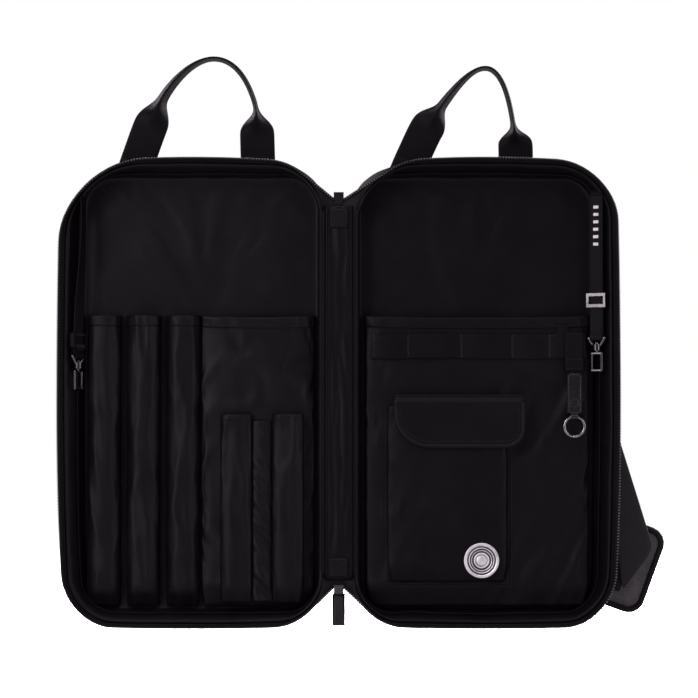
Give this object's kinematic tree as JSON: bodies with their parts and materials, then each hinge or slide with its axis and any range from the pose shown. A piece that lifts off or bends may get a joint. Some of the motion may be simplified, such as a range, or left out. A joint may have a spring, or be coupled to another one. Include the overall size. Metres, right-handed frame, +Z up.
{
  "type": "drum stick bag",
  "caption": "Padded zip-around drum stick bag opened flat like a book, with stick pockets, organiser pocket, hook straps, carry handles and a shoulder strap.",
  "frame": {"origin": "middle of the spine panel's outer face, at half the bag's height, with the bag opened flat", "axes": "+X to the viewer's right across the open bag, +Y away from the viewer out of the back of the bag, +Z up along the spine towards the carry handles"},
  "size_m": [0.6064, 0.0588, 0.575],
  "materials": {
    "outer_fabric": "woven, matt",
    "foam": "closed-cell foam, hidden between the fabrics",
    "board": "stiffener sheet, hidden",
    "lining_fabric": "fine plain weave",
    "webbing": "woven webbing",
    "binding_tape": "grosgrain",
    "zip_teeth": "zip chain",
    "steel": "bright plated",
    "black_plastic": "moulded",
    "badge_metal": "satin",
    "mesh_fabric": "spacer mesh",
    "touch_tape": "hook-and-loop pile"
  },
  "bodies": {
    "spine": {"spine_outer": "outer_fabric", "spine_foam": "foam", "spine_lining": "lining_fabric", "zip_end_tabs": "webbing", "top_slider": "steel", "bottom_slider": "steel"},
    "top_pull": {"top_pull": "black_plastic"},
    "bottom_pull": {"bottom_pull": "black_plastic"},
    "left_half": {"left_outer": "outer_fabric", "left_foam": "foam", "left_board": "board", "left_lining": "lining_fabric", "left_zip_tape": "webbing", "left_zip_teeth": "zip_teeth", "left_binding": "binding_tape", "stick_pocket_1": "lining_fabric", "stick_pocket_2": "lining_fabric", "stick_pocket_3": "lining_fabric", "wide_pocket": "lining_fabric", "small_pockets": "lining_fabric"},
    "left_handle": {"left_handle": "webbing"},
    "left_hook_strap": {"left_hook_strap": "webbing", "left_swivel_eye": "steel"},
    "left_glide": {"left_glide": "steel"},
    "left_hook": {"left_snap_hook": "steel"},
    "left_gate": {"left_gate": "steel"},
    "right_half": {"right_outer": "outer_fabric", "right_foam": "foam", "right_board": "board", "right_lining": "lining_fabric", "right_zip_tape": "webbing", "right_zip_teeth": "zip_teeth", "right_binding": "binding_tape", "organiser_pocket": "lining_fabric", "organiser_webbing": "webbing", "flap_pocket": "lining_fabric", "flap_loop_tape": "touch_tape", "badge": "badge_metal", "top_anchor": "webbing", "bottom_anchor": "webbing"},
    "pocket_flap": {"pocket_flap": "lining_fabric", "flap_hook_tape": "touch_tape"},
    "key_leash": {"key_leash": "webbing", "key_clip": "black_plastic"},
    "key_ring": {"key_ring": "steel"},
    "right_handle": {"right_handle": "webbing"},
    "right_hook_strap": {"right_hook_strap": "webbing", "right_swivel_eye": "steel"},
    "right_glide": {"right_glide": "steel"},
    "right_hook": {"right_snap_hook": "steel"},
    "right_gate": {"right_gate": "steel"},
    "top_ring": {"top_ring": "steel"},
    "bottom_ring": {"bottom_ring": "steel"},
    "shoulder_strap": {"shoulder_strap": "webbing"},
    "shoulder_pad": {"shoulder_pad": "mesh_fabric", "pad_binding": "binding_tape", "pad_keepers": "webbing"},
    "strap_adjuster": {"strap_adjuster": "steel"}
  },
  "joints": [
    {"name": "left_half_hinge", "type": "hinge", "parent": "spine", "child": "left_half", "pos_m": [-0.014, 0, 0], "axis": [0, 0, 1], "range_deg": [-10, 90]},
    {"name": "right_half_hinge", "type": "hinge", "parent": "spine", "child": "right_half", "pos_m": [0.014, 0, 0], "axis": [0, 0, -1], "range_deg": [-10, 90]},
    {"name": "top_pull_swing", "type": "hinge", "parent": "spine", "child": "top_pull", "pos_m": [0, 0.0081, 0.195], "axis": [1, 0, 0], "range_deg": [0, 110]},
    {"name": "bottom_pull_swing", "type": "hinge", "parent": "spine", "child": "bottom_pull", "pos_m": [0, 0.0081, -0.195], "axis": [1, 0, 0], "range_deg": [0, 110]},
    {"name": "left_handle_lean", "type": "hinge", "parent": "left_half", "child": "left_handle", "pos_m": [-0.143, 0.0237, 0.2224], "axis": [-1, 0, 0], "range_deg": [-60, 80], "stiffness_Nm_per_rad": 0.4},
    {"name": "right_handle_lean", "type": "hinge", "parent": "right_half", "child": "right_handle", "pos_m": [0.123, 0.0237, 0.2224], "axis": [-1, 0, 0], "range_deg": [-60, 80], "stiffness_Nm_per_rad": 0.4},
    {"name": "left_hook_strap_lift", "type": "hinge", "parent": "left_half", "child": "left_hook_strap", "pos_m": [-0.2595, -0.003, 0.197], "axis": [0.6018, 0.7986, 0], "range_deg": [-60, 0]},
    {"name": "left_glide_slide", "type": "slide", "parent": "left_hook_strap", "child": "left_glide", "axis": [0, 0, 1], "range_m": [-0.004, 0.12]},
    {"name": "left_hook_swivel", "type": "hinge", "parent": "left_hook_strap", "child": "left_hook", "pos_m": [-0.2595, -0.003, 0.028], "axis": [0, 0, 1], "range_deg": [-90, 90]},
    {"name": "left_gate_open", "type": "hinge", "parent": "left_hook", "child": "left_gate", "pos_m": [-0.25649, 0.00099, 0.0079], "axis": [0.7986, -0.6018, 0], "range_deg": [0, 25], "stiffness_Nm_per_rad": 0.02},
    {"name": "right_hook_strap_lift", "type": "hinge", "parent": "right_half", "child": "right_hook_strap", "pos_m": [0.257, -0.003, 0.197], "axis": [0.9063, -0.4226, 0], "range_deg": [-60, 0]},
    {"name": "right_glide_slide", "type": "slide", "parent": "right_hook_strap", "child": "right_glide", "axis": [0, 0, 1], "range_m": [-0.02, 0.09]},
    {"name": "right_hook_swivel", "type": "hinge", "parent": "right_hook_strap", "child": "right_hook", "pos_m": [0.257, -0.003, 0.046], "axis": [0, 0, 1], "range_deg": [-90, 90]},
    {"name": "right_gate_open", "type": "hinge", "parent": "right_hook", "child": "right_gate", "pos_m": [0.25247, -0.00089, 0.0259], "axis": [0.4226, 0.9063, 0], "range_deg": [0, 25], "stiffness_Nm_per_rad": 0.02},
    {"name": "pocket_flap_lift", "type": "hinge", "parent": "right_half", "child": "pocket_flap", "pos_m": [0.12, -0.0083, -0.0078], "axis": [1, 0, 0], "range_deg": [-150, 0]},
    {"name": "key_leash_swing", "type": "hinge", "parent": "right_half", "child": "key_leash", "pos_m": [0.235, 0.00035, 0.06], "axis": [1, 0, 0], "range_deg": [-80, 0]},
    {"name": "key_ring_swing", "type": "hinge", "parent": "key_leash", "child": "key_ring", "pos_m": [0.235, 0.00035, -0.024], "axis": [1, 0, 0], "range_deg": [-70, 8]},
    {"name": "top_ring_swing", "type": "hinge", "parent": "right_half", "child": "top_ring", "pos_m": [0.19113, 0.0298, 0.18501], "axis": [0.9553, 0, 0.2957], "range_deg": [0, 45]},
    {"name": "shoulder_strap_swing", "type": "hinge", "parent": "top_ring", "child": "shoulder_strap", "pos_m": [0.19645, 0.0298, 0.16781], "axis": [0.9553, 0, 0.2957], "range_deg": [0, 45]},
    {"name": "shoulder_pad_slide", "type": "slide", "parent": "shoulder_strap", "child": "shoulder_pad", "axis": [0.9397, 0, -0.342], "range_m": [-0.02, 0]},
    {"name": "strap_adjuster_slide", "type": "slide", "parent": "shoulder_strap", "child": "strap_adjuster", "axis": [0, 0, 1], "range_m": [-0.04, 0]},
    {"name": "bottom_ring_swing", "type": "hinge", "parent": "right_half", "child": "bottom_ring", "pos_m": [0.062, 0.0298, -0.208], "axis": [-1, 0, 0], "range_deg": [0, 80], "stiffness_Nm_per_rad": 0.05}
  ]
}
